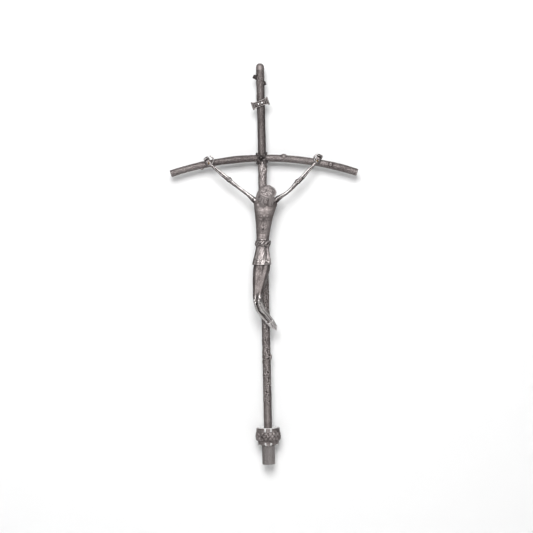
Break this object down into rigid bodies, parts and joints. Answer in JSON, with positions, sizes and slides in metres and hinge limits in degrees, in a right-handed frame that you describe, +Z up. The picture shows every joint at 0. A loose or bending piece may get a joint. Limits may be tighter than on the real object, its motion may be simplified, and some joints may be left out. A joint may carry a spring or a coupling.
{
  "type": "processional cross",
  "caption": "Processional cross head with a bent branch-like crossbar, a hanging corpus, a scroll plate, a leafed knot and a round staff socket.",
  "frame": {"origin": "centre of the staff socket's mouth, at the lower end of the tube", "axes": "+Z up along the upright, -Y towards the side that carries the corpus, +X to the viewer's right"},
  "size_m": [0.2816, 0.0556, 0.6],
  "materials": {
    "oxidised_silver": "cast, oxidised and rubbed bright on the high places",
    "polished_silver": "turned and polished",
    "gilt_brass": "dull gilt",
    "steel": "plain machined"
  },
  "bodies": {
    "root": {"top_cap": "polished_silver", "upper_shaft": "oxidised_silver", "lower_shaft": "oxidised_silver", "crossbar": "oxidised_silver", "crossing_lashing": "oxidised_silver", "crossing_stud": "steel", "titulus_plate": "oxidised_silver", "titulus_pins": "steel", "corpus_head": "oxidised_silver", "corpus_torso": "oxidised_silver", "corpus_left_arm": "oxidised_silver", "corpus_right_arm": "oxidised_silver", "loincloth": "polished_silver", "corpus_legs": "oxidised_silver", "hand_nails": "gilt_brass", "feet_nail": "gilt_brass", "corpus_screws": "steel", "knot_core": "polished_silver", "knot_leaf_front": "oxidised_silver", "knot_leaf_right": "oxidised_silver", "knot_leaf_back": "oxidised_silver", "knot_leaf_left": "oxidised_silver", "staff_tube": "polished_silver", "tie_rod": "steel", "tie_nut": "steel", "tie_washer": "steel"}
  },
  "joints": []
}
